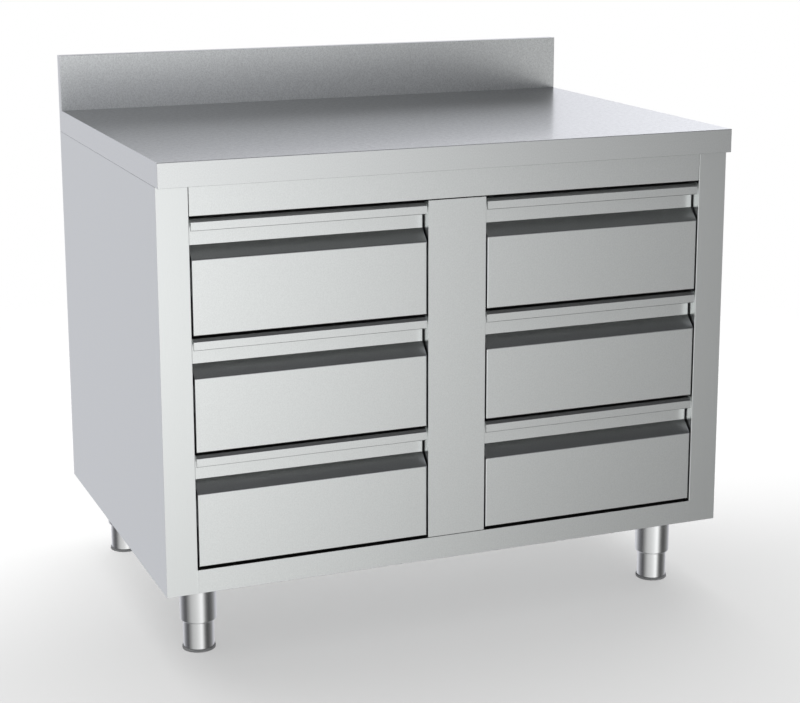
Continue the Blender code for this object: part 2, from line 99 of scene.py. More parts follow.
# What the steel mirrors round the table: levels by degrees from the front, to the right being positive
MIRRORED_FLOOR = {
    -180: 0.73, -160: 0.73, -138: 0.37, -120: 0.18, -97: 0.08, -75: 0.48, -57: 0.85, -34: 1.00, -15: 1.20,
    0: 1.54, 8: 1.70, 13: 1.53, 18: 1.09, 24: 0.66, 33: 0.29, 42: 0.15, 52: 0.11, 62: 0.13, 77: 0.24,
    99: 0.38, 119: 0.55, 155: 0.76, 180: 0.73}
MIRRORED_WALLS = {
    -180: 1.00, -165: 0.72, -138: 0.37, -97: 0.14, -57: 0.40, -20: 0.60, 0: 0.80, 11: 0.80, 18: 0.46,
    24: 0.14, 32: 0.02, 45: 0.02, 77: 0.33, 119: 1.30, 135: 1.95, 147: 2.00, 157: 1.36, 166: 1.14, 180: 1.00}
MIRRORED_UPPER = {
    -180: 0.80, -165: 0.58, -150: 0.48, -100: 0.36, -15: 0.34, 5: 0.30, 40: 0.30, 70: 0.42, 105: 0.80,
    130: 1.80, 150: 1.95, 160: 1.45, 170: 1.00, 180: 0.80}
# Levels of the ceiling, of its rim, of the floor near the table, and of the light on dull surfaces
CEILING_LIGHT = 0.50
CEILING_DARK = 0.08
CEILING_RIM = 0.25
NEAR_FLOOR = 0.56
AMBIENT_LEVEL = 0.55
WHITE = (1.0, 1.0, 1.0, 1.0)
BACKDROP_TINT = (0.993, 0.995, 1.058, 1.0)
# Where these blend, in shares of a direction that point up, and then to the right or the back
NEAR_FLOOR_END = (-0.40, -0.25)
WALLS_START = (-0.11, 0.06)
UPPER_START = (0.20, 0.42)
CEILING_START = (0.30, 0.60)
OVERHEAD_START = (0.72, 0.95)
DARK_START = (-0.25, 0.15)
DARK_END = (-0.05, 0.25)
BACKDROP_START = (-0.2, 0.4)

# The floor: where it starts to fade, how it thins out, and where its colour goes from a painted shade at the
# front to its full colour at the back
FLOOR_SEGMENTS = 128
FLOOR_FADE = 1.3
FLOOR_THINNING = (-0.30, 0.55)
FLOOR_THIN = 0.6
FLOOR_PAINTED_SHADE_SPAN = (-0.35, 0.35)
FLOOR_PAINTED_SHADE = 0.72


def length(name, description, default):
    """A length that a user would change."""
    return bpy.props.FloatProperty(name=name, description=description, default=default, min=0.0,
                                   precision=4, unit="LENGTH")


def share(name, description, default):
    """A number from 0 to 1 that a user would change."""
    return bpy.props.FloatProperty(name=name, description=description, default=default, min=0.0, max=1.0,
                                   subtype="FACTOR")


def colour(name, description, default):
    """A colour that a user would change."""
    return bpy.props.FloatVectorProperty(name=name, description=description, default=default, size=3,
                                         min=0.0, max=1.0, subtype="COLOR")


class TableSizes(bpy.types.PropertyGroup):
    """Sheet, fold and fitting sizes of the table."""

    worktop_sheet: length("Worktop sheet", "Thickness of the worktop's sheet", 0.0012)
    worktop_return: length("Worktop return", "Width of the return under the worktop's edge", 0.018)
    upstand_height: length("Upstand height", "Height of the upstand over the worktop", 0.100)
    upstand_thickness: length("Upstand thickness", "Depth of the boxed upstand", 0.020)
    cabinet_sheet: length("Cabinet sheet", "Thickness of the cabinet's sheets", 0.001)
    inner_radius: length("Inner radius", "Radius inside a fold", 0.0005)
    stile_width: length("Stile width", "Width of the stile beside the drawers", 0.0515)
    jamb_depth: length("Jamb depth", "Depth of the folds round an opening", 0.020)
    panel_return: length("Panel return", "Width of the returns behind the panels", 0.025)
    bottom_rail: length("Bottom rail", "Height of the rail under the drawers", 0.0392)
    grip_depth: length("Grip depth", "Depth of the finger grip", 0.020)
    grip_height: length("Grip height", "Height of the grip above its slope", 0.0439)
    slope_height: length("Slope height", "Height of the slope under the grip", 0.020)
    lip_height: length("Lip height", "Height of the lip over the grip", 0.014)
    lip_chamfer: length("Lip chamfer", "Width of the chamfer on top of the lip", 0.0048)
    lip_hem: length("Lip hem", "Height of the hem behind the lip", 0.009)
    hem_gap: length("Hem gap", "Gap inside the hem", 0.0006)
    side_return: length("Side return", "Depth of a drawer front's side returns", 0.016)
    foot_return: length("Foot return", "Height of a drawer front's foot return", 0.026)
    box_rim: length("Box rim", "Width of the rim turned in round a drawer box", 0.008)
    box_corner: length("Box corner", "Outer radius of a drawer box's corners", 0.0025)
    runner_sheet: length("Runner sheet", "Thickness of the runners' sections", 0.0012)
    runner_height: length("Inner runner height", "Height of the runner member on a drawer box", 0.039)
    runner_depth: length("Inner runner depth", "How far that member stands out of the box", 0.0082)
    sleeve_radius: length("Sleeve radius", "Outer radius of a leg's sleeve", 0.0303)
    sleeve_wall: length("Sleeve wall", "Wall of a leg's sleeve", 0.002)
    sleeve_round: length("Sleeve round", "Radius of the sleeve's rounded mouth", 0.0028)
    sleeve_collar: length("Sleeve collar", "Length of the guide collar in the sleeve", 0.018)
    plate_thickness: length("Plate thickness", "Thickness of a leg's mounting plate", 0.003)
    plate_corner: length("Plate corner", "Radius of a mounting plate's corners", 0.008)
    foot_wall: length("Foot wall", "Wall of a levelling foot", 0.002)
    small_round: length("Small round", "Radius of small rounded edges", 0.0006)
    broken_edge: length("Broken edge", "Radius outside the crisp folds", 0.0004)
    front_fold: length("Front fold", "Radius of the fold along the worktop's front", 0.0010)
    jamb_fold: length("Jamb fold", "Radius of the folds beside the drawers", 0.0009)
    post_gap: length("Post gap", "Gap between the centre post and the top rail", 0.0008)
    weld_gap: length("Weld gap", "Hairline under the dressed welds", 0.00003)
    weld_width: length("Weld width", "Width of the dressed welds", 0.003)
    weld_proud: length("Weld proud", "How far the dressed welds stand proud", 0.00005)
    bolt_inset: length("Bolt inset", "Distance of the bolts from a mounting plate's edges", 0.011)
    bolt_head: length("Bolt head", "Radius over the corners of a bolt's head", 0.0058)
    bolt_height: length("Bolt height", "Height of a bolt's head", 0.004)
    washer_radius: length("Washer radius", "Outer radius of a bolt's washer", 0.0062)
    washer_thickness: length("Washer thickness", "Thickness of a bolt's washer", 0.0011)
    rivet_radius: length("Rivet radius", "Radius of a blind rivet's head", 0.00325)
    rivet_height: length("Rivet height", "Height of a blind rivet's head", 0.0013)
    rivet_level: length("Rivet level", "Distance of rivets from a drawer box's floor and rim", 0.008)
    fit: length("Fit", "Running clearance of a foot in its sleeve", 0.0003)


class TableFinishes(bpy.types.PropertyGroup):
    """Colours and gloss of the table's finishes."""

    worktop_steel: colour("Worktop steel", "Colour of the worktop's sheet", (0.79, 0.81, 0.803))
    cabinet_steel: colour("Cabinet steel", "Colour of the cabinet's sheets", (0.788, 0.81, 0.801))
    inner_steel: colour("Inner steel", "Colour of the sheets inside", (0.66, 0.67, 0.68))
    # A dark colour painted where shade falls: inside the drawer grips and under the returns (painted shade)
    painted_shade_steel: colour("Reverse steel", "Colour of the sheets' unpolished side", (0.22, 0.22, 0.22))
    runner_zinc: colour("Runner zinc", "Colour of the plated runners", (0.72, 0.74, 0.77))
    leg_steel: colour("Leg steel", "Colour of the polished legs", (0.83, 0.84, 0.84))
    base_plastic: colour("Base plastic", "Colour of the bases under the feet", (0.29, 0.293, 0.297))
    core_board: colour("Core board", "Colour of the worktop's core board", (0.50, 0.36, 0.21))
    worktop_roughness: share("Worktop roughness", "Roughness of the worktop's satin finish", 0.285)
    upright_roughness: share("Upright roughness", "Roughness of the worktop's edges and upstand", 0.315)
    cabinet_roughness: share("Cabinet roughness", "Roughness of the cabinet's satin finish", 0.30)
    leg_roughness: share("Leg roughness", "Roughness of the polished legs", 0.25)


class TableStage(bpy.types.PropertyGroup):
    """Floor, light and camera round the table."""

    floor: colour("Floor", "Colour of the floor", (0.95, 0.95, 0.95))
    floor_radius: length("Floor radius", "Radius at which the floor has faded into the background", 2.5)
    floor_cover: share("Floor cover", "How much of the white background the floor covers", 0.6)
    lamp_strength: bpy.props.FloatProperty(
        name="Lamp strength", description="Strength of the overhead lamp", default=2.3, min=0.0)
    lamp_spread: bpy.props.FloatProperty(
        name="Lamp spread", description="Angle that the overhead lamp fills", default=math.radians(70),
        subtype="ANGLE")
    lamp_turn: bpy.props.FloatVectorProperty(
        name="Lamp turn", description="The way the overhead lamp is turned", size=3, subtype="EULER",
        unit="ROTATION", default=(math.radians(-34), math.radians(4), 0))
    camera_place: bpy.props.FloatVectorProperty(
        name="Camera place", description="Where the camera stands", size=3, subtype="TRANSLATION",
        unit="LENGTH", default=(-1.2071, -3.1009, 1.2595))
    camera_turn: bpy.props.FloatVectorProperty(
        name="Camera turn", description="The way the camera is turned", size=3, subtype="EULER",
        unit="ROTATION", default=(math.radians(77.622), math.radians(0.038), math.radians(-22.206)))
    lens: bpy.props.FloatProperty(
        name="Lens", description="Focal length on a 36 mm sensor", default=85.15, unit="CAMERA")
    shift: bpy.props.FloatVectorProperty(
        name="Shift", description="Shift of the picture, in picture widths", size=2,
        default=(-0.01624, -0.08432))


class Term:
    """A socket of a node tree on which sums are written."""

    def __init__(self, book, socket):
        self.book = book
        self.socket = socket

    def math(self, operation, first, second):
        """A sum of two values, as a node."""
        return self.book.node("ShaderNodeMath", {"operation": operation}, {0: first, 1: second})

    def __add__(self, other):
        return self.math("ADD", self, other)

    def __radd__(self, other):
        return self.math("ADD", other, self)

    def __sub__(self, other):
        return self.math("SUBTRACT", self, other)

    def __rsub__(self, other):
        return self.math("SUBTRACT", other, self)

    def __mul__(self, other):
        return self.math("MULTIPLY", self, other)

    def __rmul__(self, other):
        return self.math("MULTIPLY", other, self)

    def __truediv__(self, other):
        return self.math("DIVIDE", self, other)

    def __rtruediv__(self, other):
        return self.math("DIVIDE", other, self)


class NodeBook:
    """The node tree of a finish or of the world while it is written."""

    def __init__(self, tree):
        self.tree = tree
        self.tree.nodes.clear()

    def node(self, kind, settings=None, sockets=None, output=0):
        """Adds a node, sets it up, fills its sockets by name or number, and returns one of its outputs."""
        node = self.tree.nodes.new(kind)
        for key, value in (settings or {}).items():
            if key == "stops":
                self.set_stops(node.color_ramp, value)
            else:
                setattr(node, key, value)
        for key, value in (sockets or {}).items():
            if isinstance(value, Term):
                self.tree.links.new(value.socket, node.inputs[key])
            else:
                node.inputs[key].default_value = value
        return Term(self, node.outputs[output]) if node.outputs else None

    @staticmethod
    def set_stops(ramp, stops):
        """Puts the stops of a colour ramp at their places."""
        while len(ramp.elements) < len(stops):
            ramp.elements.new(1.0)
        for element, (position, rgba) in zip(ramp.elements, stops):
            element.position = position
            element.color = rgba

    def place(self):
        """Where a point is in its piece's own frame."""
        return self.node("ShaderNodeTexCoord", output="Object")

    def stretched(self, place, scale):
        """A place scaled by its own amount along each axis."""
        return self.node("ShaderNodeMapping", {"vector_type": "POINT"}, {"Vector": place, "Scale": scale})

    def along(self, place, axis):
        """A place's or a direction's part along one axis."""
        return self.node("ShaderNodeSeparateXYZ", {}, {0: place}, output=axis)

    def noise(self, place, scale=1.0, detail=3.0, roughness=0.55):
        """Cloudy values round a half."""
        return self.node("ShaderNodeTexNoise", {}, {"Vector": place, "Scale": scale, "Detail": detail,
                                                    "Roughness": roughness})

    def cells(self, place, scale):
        """Small cells, each with a value of its own."""
        cells = self.node("ShaderNodeTexVoronoi", {"feature": "F1"}, {"Vector": place, "Scale": scale},
                          output="Color")
        return self.node("ShaderNodeSeparateColor", {}, {"Color": cells})

    def ray(self, kind):
        """One for rays of a kind, and zero for others."""
        return self.node("ShaderNodeLightPath", output=f"Is {kind} Ray")

    def blend(self, factor, low, high):
        """A colour between two."""
        return self.node("ShaderNodeMix", {"data_type": "RGBA"}, {0: factor, 6: low, 7: high}, output=2)

    def tones(self, factor, rgb, darkest, lightest):
        """A colour's tones, from its darkest to its lightest."""
        return self.blend(factor, shade(rgb, darkest), shade(rgb, lightest))

    def ease(self, value, stretch, low=0.0, high=1.0):
        """Eases from low to high while a value goes along a stretch."""
        start, end = stretch
        return self.node("ShaderNodeMapRange", {"interpolation_type": "SMOOTHSTEP"},
                         {"Value": value, "From Min": start, "From Max": end, "To Min": low, "To Max": high})

    def ring(self, around, levels):
        """Levels that go round the horizon, from their degrees."""
        stops = [((degrees + 180) / 360, (level, level, level, 1.0)) for degrees, level in levels.items()]
        return self.node("ShaderNodeValToRGB", {"stops": stops}, {"Fac": around})

    def mark(self, name):
        """A mark that was put on a piece's faces while it was made."""
        return self.node("ShaderNodeAttribute", {"attribute_name": name}, output="Fac")

    def bump(self, height, strength, distance):
        """A normal turned by fine relief."""
        return self.node("ShaderNodeBump", {}, {"Height": height, "Strength": strength, "Distance": distance})

    def surface(self, sockets):
        """Ends the tree in a principled surface."""
        shader = self.node("ShaderNodeBsdfPrincipled", {}, sockets)
        self.node("ShaderNodeOutputMaterial", {}, {"Surface": shader})


def shade(rgb, factor):
    """A colour made darker or lighter, with its alpha."""
    return (*(min(1.0, channel * factor) for channel in rgb), 1.0)


def varied(middle, *patterns):
    """A value varied by patterns that lie round a half, each with its weight."""
    for pattern, weight in patterns:
        middle = middle + (pattern - HALF) * weight
    return middle


def new_finish(name):
    """An empty finish and the book that its nodes are written in."""
    material = bpy.data.materials.new(name)
    material.use_nodes = True
    return material, NodeBook(material.node_tree)


def satin_steel(book, rgb, roughness, brushing, speckle, mottle=0.0, lacquer=0.0, grazing=1.0):
    """Satin sheet: fine strokes along the brushing and a speckled, cloudy tone.

    speckle is the weight of the specks, and mottle that of a coarser grain on level faces. lacquer is the
    weight of a clear film against fingerprints, and grazing how much of a low light the steel gives back.
    """
    place = book.place()
    strokes = book.noise(book.stretched(place, brushing), detail=4.0, roughness=0.65)
    specks = book.noise(book.stretched(place, (1.0, 1.0, 0.7)), scale=620.0, detail=1.0)
    grain = book.noise(book.stretched(place, (130.0, 130.0, 4000.0)), detail=2.0)
    clouds = book.noise(place, scale=4.5)
    tone = varied(HALF, (strokes, 0.20), (specks, speckle), (grain, mottle), (clouds, 0.10))
    book.surface({
        "Base Color": book.tones(tone, rgb, darkest=0.85, lightest=1.15),
        "Roughness": varied(roughness, (strokes, 0.03), (clouds, 0.02)),
        "Metallic": 1.0,
        "Specular Tint": (grazing, grazing, grazing, 1.0),
        "Coat Weight": lacquer,
        "Coat Roughness": 0.12,
        "Normal": book.bump(strokes * 0.7 + specks * 0.3, strength=0.10, distance=0.00004)})


def mill_steel(book, rgb):
    """Plain sheet as it leaves the mill: dull, softly mottled, with faint roll lines and glossier folds."""
    place = book.place()
    mottle = book.noise(place, scale=26.0, detail=5.0, roughness=0.6)
    lines = book.noise(book.stretched(place, (420.0, 6.0, 420.0)))
    fold = book.mark(FOLD_MARK)
    book.surface({
        "Base Color": book.tones(varied(HALF, (mottle, 0.9), (lines, 0.4)), rgb, darkest=0.90, lightest=1.08),
        "Roughness": varied(0.40, (mottle, 0.16), (lines, 0.08)) - fold * 0.05,
        "Metallic": 1.0,
        "Normal": book.bump(mottle * 0.4 + lines * 0.6, strength=0.12, distance=0.00005)})


def zinc_plate(book, rgb):
    """Bright zinc plate: small crystals that differ a little in tone and gloss."""
    place = book.place()
    crystal = book.cells(place, scale=420.0)
    haze = book.noise(place, scale=30.0)
    book.surface({
        "Base Color": book.tones(varied(HALF, (crystal, 0.7), (haze, 0.5)), rgb, darkest=0.88, lightest=1.10),
        "Roughness": varied(0.30, (crystal, 0.12), (haze, 0.10)),
        "Metallic": 1.0,
        "Normal": book.bump(crystal, strength=0.05, distance=0.00004)})


def polished_tube(book, rgb, roughness):
    """Polished tube: faint turning lines round it and a little haze."""
    place = book.place()
    turning = book.noise(book.stretched(place, (25.0, 25.0, 2600.0)))
    haze = book.noise(place, scale=38.0, detail=4.0)
    book.surface({
        "Base Color": book.tones(varied(HALF, (turning, 0.6), (haze, 0.5)), rgb, darkest=0.95, lightest=1.04),
        "Roughness": varied(roughness, (turning, 0.05), (haze, 0.06)),
        "Metallic": 1.0,
        "Normal": book.bump(turning, strength=0.06, distance=0.00003)})


def moulded_plastic(book, rgb):
    """Dark moulded base: fine pebbled grain and dust that dulls it in places."""
    place = book.place()
    pebbles = book.noise(place, scale=900.0, detail=2.0)
    dust = book.noise(place, scale=70.0, detail=4.0)
    book.surface({
        "Base Color": book.tones(varied(HALF, (pebbles, 0.5), (dust, 1.0)), rgb, darkest=0.8, lightest=1.6),
        "Roughness": varied(0.48, (dust, 0.25)),
        "Normal": book.bump(pebbles, strength=0.25, distance=0.0001)})


def particle_board(book, rgb):
    """Core board: pressed chips in several browns."""
    place = book.place()
    chip = book.cells(book.stretched(place, (1.0, 0.6, 1.6)), scale=260.0)
    fibre = book.noise(place, scale=340.0, detail=4.0)
    book.surface({
        "Base Color": book.tones(chip * 0.7 + fibre * 0.3, rgb, darkest=0.62, lightest=1.30),
        "Roughness": varied(0.82, (fibre, 0.15)),
        "Normal": book.bump(chip * 0.6 + fibre * 0.4, strength=0.4, distance=0.0002)})


def finish(context, look):
    """One of the table's finishes, written the first time that it is asked for."""
    material = bpy.data.materials.get(look)
    if material and material.get(WRITTEN_MARK):
        return material
    if material:
        material.name = f"{look}_frame"
    colours = context.scene.table_finishes
    upright = {"rgb": colours.worktop_steel, "roughness": colours.upright_roughness,
               "brushing": WORKTOP_BRUSHING, "lacquer": 0.2}
    level = {**upright, "roughness": colours.worktop_roughness, "grazing": 0.5}
    cabinet = {"rgb": colours.cabinet_steel, "roughness": colours.cabinet_roughness,
               "brushing": CABINET_BRUSHING}
    write, values = {
        "worktop_steel": (satin_steel, {**upright, "speckle": 1.8, "mottle": 1.6}),
        "worktop_level": (satin_steel, {**level, "speckle": 1.8, "mottle": 1.6}),
        "worktop_edge": (satin_steel, {**upright, "speckle": 0.6}),
        "cabinet_steel": (satin_steel, {**cabinet, "speckle": 0.6}),
        "side_steel": (satin_steel, {**cabinet, "speckle": 0.1}),
        # Painted shade: a dark colour, with the mill sheet's pattern, that stands in for the shade inside the
        # grips and under the returns
        "painted_grip_shade": (mill_steel, {"rgb": colours.painted_shade_steel}),
        "inner_steel": (mill_steel, {"rgb": colours.inner_steel}),
        "runner_steel": (zinc_plate, {"rgb": colours.runner_zinc}),
        "leg_steel": (polished_tube, {"rgb": colours.leg_steel, "roughness": colours.leg_roughness}),
        "base_plastic": (moulded_plastic, {"rgb": colours.base_plastic}),
        "core_board": (particle_board, {"rgb": colours.core_board}),
    }[look]
    material, book = new_finish(look)
    write(book, **values)
    material[WRITTEN_MARK] = True
    return material


def refinish(context, node, look):
    """Gives a piece of the frame its finish."""
    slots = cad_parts[node].data.materials
    slots.clear()
    slots.append(finish(context, look))


def corners_of(geometry):
    """The corners among what an operator has made."""
    return [item for item in geometry if isinstance(item, bmesh.types.BMVert)]


def same(value, target):
    """True where two coordinates are the same place."""
    return abs(value - target) < SAME_PLACE


def skin_box(node):
    """A node's corners, drawn in by what a skin grows when it is given its thickness."""
    low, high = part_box(node)
    return low + SKIN_GROWTH, high - SKIN_GROWTH


def new_sheet():
    """An empty mesh whose faces can be marked as pressed folds."""
    bm = bmesh.new()
    bm.faces.layers.float.new(FOLD_MARK)
    return bm


def pulled_profile(corners, run):
    """A sheet with sharp folds: an open profile through its corners, pulled along run."""
    bm = new_sheet()
    points = [bm.verts.new(corner) for corner in corners]
    lines = [bm.edges.new(pair) for pair in zip(points, points[1:])]
    pulled = bmesh.ops.extrude_edge_only(bm, edges=lines)["geom"]
    bmesh.ops.translate(bm, verts=corners_of(pulled), vec=run)
    return bm


def pulled_across(profile, left, right):
    """A sheet whose profile of (y, z) corners is pulled from left to right."""
    return pulled_profile([(left, y, z) for y, z in profile], (right - left, 0, 0))


def pulled_up(profile, foot, top):
    """A sheet whose profile of (x, y) corners is pulled from foot to top."""
    return pulled_profile([(x, y, foot) for x, y in profile], (0, 0, top - foot))


def open_edges(bm, test):
    """The open edges of a sheet whose two ends both pass a test on their place."""
    return [edge for edge in bm.edges if edge.is_boundary and all(test(vert.co) for vert in edge.verts)]


def fold_flange(bm, edges, move):
    """Folds a flange off open edges, each new corner moved by move(place), and returns its open edges."""
    made = bmesh.ops.extrude_edge_only(bm, edges=edges)["geom"]
    corners = corners_of(made)
    for corner in corners:
        corner.co += Vector(move(corner.co))
    return [item for item in made if isinstance(item, bmesh.types.BMEdge) and item.is_boundary
            and all(vert in corners for vert in item.verts)]


def face_outward(bm, direction):
    """Turns all faces so that the one furthest along a direction looks that way."""
    direction = Vector(direction)
    bmesh.ops.recalc_face_normals(bm, faces=bm.faces[:])
    leading = max(bm.faces, key=lambda face: face.calc_center_median().dot(direction))
    if leading.normal.dot(direction) < 0:
        bmesh.ops.reverse_faces(bm, faces=bm.faces[:])


def press(bm, edges, radius, segments=5):
    """Rounds edges by a radius and marks the new faces as pressed."""
    if not edges:
        return
    made = bmesh.ops.bevel(bm, geom=edges, offset=radius, offset_type="OFFSET", segments=segments,
                           profile=0.5, affect="EDGES", clamp_overlap=True, material=-1)
    mark = bm.faces.layers.float[FOLD_MARK]
    for face in made["faces"]:
        face[mark] = 1.0


def folds(bm):
    """The edges where two faces of a sheet meet in a sharp fold."""
    return [edge for edge in bm.edges if edge.is_manifold and edge.calc_face_angle() > FOLD_ANGLE]


def press_strip(bm, sizes, sheet):
    """Rounds a strip's parallel folds: outside folds round their sheet, inside folds to the inner radius."""
    sharp = folds(bm)
    outside = [edge for edge in sharp if edge.is_convex]
    inside = [edge for edge in sharp if not edge.is_convex]
    press(bm, outside, sizes.inner_radius + sheet)
    press(bm, inside, sizes.inner_radius)


def mark_painted_shade(bm):
    """Gives the faces that look down or back the second finish, a dark colour that paints the shade inside
    the grip and under the returns.
    """
    for face in bm.faces:
        if face.normal.z < -LEANING or face.normal.y > LEANING:
            face.material_index = 1


def new_piece(name, bm, material, body, stands_for=()):
    """A finished mesh as a named piece that rides on a body of the frame."""
    mesh = bpy.data.meshes.new(name)
    bm.to_mesh(mesh)
    bm.free()
    mesh.materials.append(material)
    piece = bpy.data.objects.new(name, mesh)
    bpy.context.scene.collection.objects.link(piece)
    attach(piece, body)
    if stands_for:
        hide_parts(*stands_for)
    return piece


def smooth_rounds(piece):
    """Shades rounds smoothly and keeps flat faces flat and cut edges sharp."""
    piece.data.shade_smooth()
    piece.data.set_sharp_from_angle(angle=SHARP_ANGLE)
    normals = piece.modifiers.new("flat faces stay flat", "WEIGHTED_NORMAL")
    normals.weight = 100
    normals.keep_sharp = True


def solid_piece(context, name, bm, body, slot, stands_for=()):
    """A closed mesh as a piece with its slot's finish and smooth rounds."""
    smooth_rounds(new_piece(name, bm, finish(context, slot), body, stands_for))


def anywhere(place):
    """A test that every place passes."""
    return True


def break_edges(mesh, radius, test):
    """Rounds the sharp outside edges of a closed mesh whose two ends both pass a test on their place."""
    bm = bmesh.new()
    bm.from_mesh(mesh)
    outside = [edge for edge in folds(bm) if edge.is_convex and all(test(vert.co) for vert in edge.verts)]
    press(bm, outside, radius)
    bm.to_mesh(mesh)
    bm.free()


def sheet_piece(context, name, bm, sheet, body, slot, stands_for=(), look=None, painted_shade_look=None, rounds=()):
    """A piece of sheet: the skin gets its thickness on the side away from its normals.

    look is its finish where that isn't the slot's own. Where the skin's faces are marked for painted shade,
    they have the finish of painted shade, a dark colour that stands in for the shade inside grips and under
    returns, and the other side has the slot's. Folds that weren't pressed round in the skin have their
    outside edges broken: rounds holds each radius and the test of where it goes.
    """
    piece = new_piece(name, bm, finish(context, look or slot), body, stands_for)
    if painted_shade_look:
        piece.data.materials.append(finish(context, painted_shade_look))
    wall = piece.modifiers.new("sheet", "SOLIDIFY")
    wall.solidify_mode = "NON_MANIFOLD"
    wall.nonmanifold_thickness_mode = "CONSTRAINTS"
    wall.nonmanifold_merge_threshold = SAME_PLACE / 10
    wall.thickness = sheet
    wall.offset = -1
    wall.material_offset = -1 if painted_shade_look else 0
    skin = piece.data
    piece.data = bpy.data.meshes.new_from_object(piece.evaluated_get(context.evaluated_depsgraph_get()))
    piece.data.name = name
    piece.modifiers.clear()
    bpy.data.meshes.remove(skin)
    for radius, test in rounds:
        break_edges(piece.data, radius, test)
    smooth_rounds(piece)
    return piece


def turn(bm, outline, base, axis, steps):
    """Adds a closed body turned round an axis through base, from its outline of (radius, height) points."""
    axis = Vector(axis)
    aside = axis.orthogonal().normalized()
    points = [bm.verts.new(base + aside * radius + axis * height) for radius, height in outline]
    lines = [bm.edges.new(pair) for pair in zip(points, points[1:])]
    if outline[0][0] > 0:
        lines.append(bm.edges.new((points[-1], points[0])))
    bmesh.ops.spin(bm, geom=points + lines, cent=base, axis=axis, dvec=(0, 0, 0), angle=2 * math.pi,
                   steps=steps, use_merge=True)
    bmesh.ops.remove_doubles(bm, verts=bm.verts[:], dist=SAME_PLACE)
    bmesh.ops.recalc_face_normals(bm, faces=bm.faces[:])


def turned(outline, centre):
    """A body turned about an upright axis, from its outline of (radius, height above the floor) points."""
    bm = new_sheet()
    turn(bm, outline, Vector((centre.x, centre.y, 0)), UP, TURN_STEPS)
    return bm


def pulled_bar(corners, run):
    """A closed bar: a face through its corners, pulled along run."""
    bm = new_sheet()
    face = bm.faces.new([bm.verts.new(corner) for corner in corners])
    pulled = bmesh.ops.extrude_face_region(bm, geom=[face])["geom"]
    bmesh.ops.translate(bm, verts=corners_of(pulled), vec=run)
    bmesh.ops.recalc_face_normals(bm, faces=bm.faces[:])
    return bm


def channel(sizes, web, mouth, low, high):
    """A runner's C section between two corners, with its web at one x and its flanges' ends at another."""
    profile = [(mouth, low.z), (web, low.z), (web, high.z), (mouth, high.z)]
    bm = pulled_profile([(x, low.y, z) for x, z in profile], (0, high.y - low.y, 0))
    face_outward(bm, (web - mouth, 0, 0))
    press(bm, folds(bm), sizes.inner_radius + sizes.runner_sheet)
    return bm


def tray_box(sizes, drawer):
    """The corners of a drawer's tray: the frame's solid also holds the inner runner members."""
    low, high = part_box(f"{drawer}_drawer_box")
    aside = Vector((sizes.runner_depth, 0, 0))
    return low + aside, high - aside


def ring_edges(bm, centre, radius, height):
    """The edges of a turned body on one circle."""
    def on_circle(place):
        return same(place.z, height) and same((place.xy - centre.xy).length, radius)
    return [edge for edge in bm.edges if all(on_circle(vert.co) for vert in edge.verts)]


class TABLE_OT_worktop(bpy.types.Operator):
    """Folds the worktop with its edge, its returns and the boxed upstand, and finishes its core board"""

    bl_idname = "work_table.worktop"
    bl_label = "Worktop"

    def execute(self, context):
        sizes = context.scene.table_sizes
        low, high = skin_box("worktop")
        top = high.z - sizes.upstand_height
        upstand_front = high.y - sizes.upstand_thickness
        profile = [(high.y, low.z), (high.y, high.z), (upstand_front, high.z), (upstand_front, top),
                   (low.y, top), (low.y, low.z)]
        bm = pulled_across(profile, low.x, high.x)
        for end in (low.x, high.x):
            bmesh.ops.contextual_create(bm, geom=open_edges(bm, lambda place: same(place.x, end)))
        fold_flange(bm, open_edges(bm, lambda place: same(place.z, low.z)),
                    lambda place: (-math.copysign(sizes.worktop_return, place.x),
                                   -math.copysign(sizes.worktop_return, place.y), 0))
        face_outward(bm, BACK)
        front = Vector((0, low.y, top))
        rounds = [(sizes.front_fold, lambda place: (place - front).yz.length < sizes.broken_edge),
                  (sizes.broken_edge, anywhere)]
        piece = sheet_piece(context, "folded_worktop", bm, sizes.worktop_sheet, CABINET, "worktop_steel",
                            ["worktop"], rounds=rounds)
        for look in ("worktop_level", "worktop_edge"):
            piece.data.materials.append(finish(context, look))
        for face in piece.data.polygons:
            if face.normal.z > SQUARE and face.center.z > top:
                face.material_index = 1
            elif abs(face.normal.x) > SQUARE or (face.normal.y < -SQUARE and face.center.z < top):
                face.material_index = 2
        refinish(context, "worktop_core", "core_board")
        return {"FINISHED"}


class TABLE_OT_side_panels(bpy.types.Operator):
    """Folds the two side panels, each with the stile and its jamb at the front"""

    bl_idname = "work_table.side_panels"
    bl_label = "Side panels"

    def execute(self, context):
        sizes = context.scene.table_sizes
        for node, side in (("left_side_panel", -1), ("right_side_panel", 1)):
            low, high = skin_box(node)
            outer = low.x if side < 0 else high.x
            inner = outer - side * sizes.stile_width
            profile = [(outer - side * sizes.panel_return, high.y), (outer, high.y), (outer, low.y),
                       (inner, low.y), (inner, low.y + sizes.jamb_depth)]
            bm = pulled_up(profile, low.z, high.z)
            fold_flange(bm, open_edges(bm, lambda place: same(place.x, outer) and same(place.z, high.z)),
                        lambda place: (-side * sizes.panel_return, 0, 0))
            face_outward(bm, (side, 0, 0))
            jamb = Vector((inner, low.y, 0))
            rounds = [(sizes.jamb_fold, lambda place: (place - jamb).xy.length < sizes.broken_edge),
                      (sizes.broken_edge, anywhere)]
            sheet_piece(context, f"folded_{node}", bm, sizes.cabinet_sheet, CABINET, "cabinet_steel", [node],
                        look="side_steel", rounds=rounds)
        return {"FINISHED"}


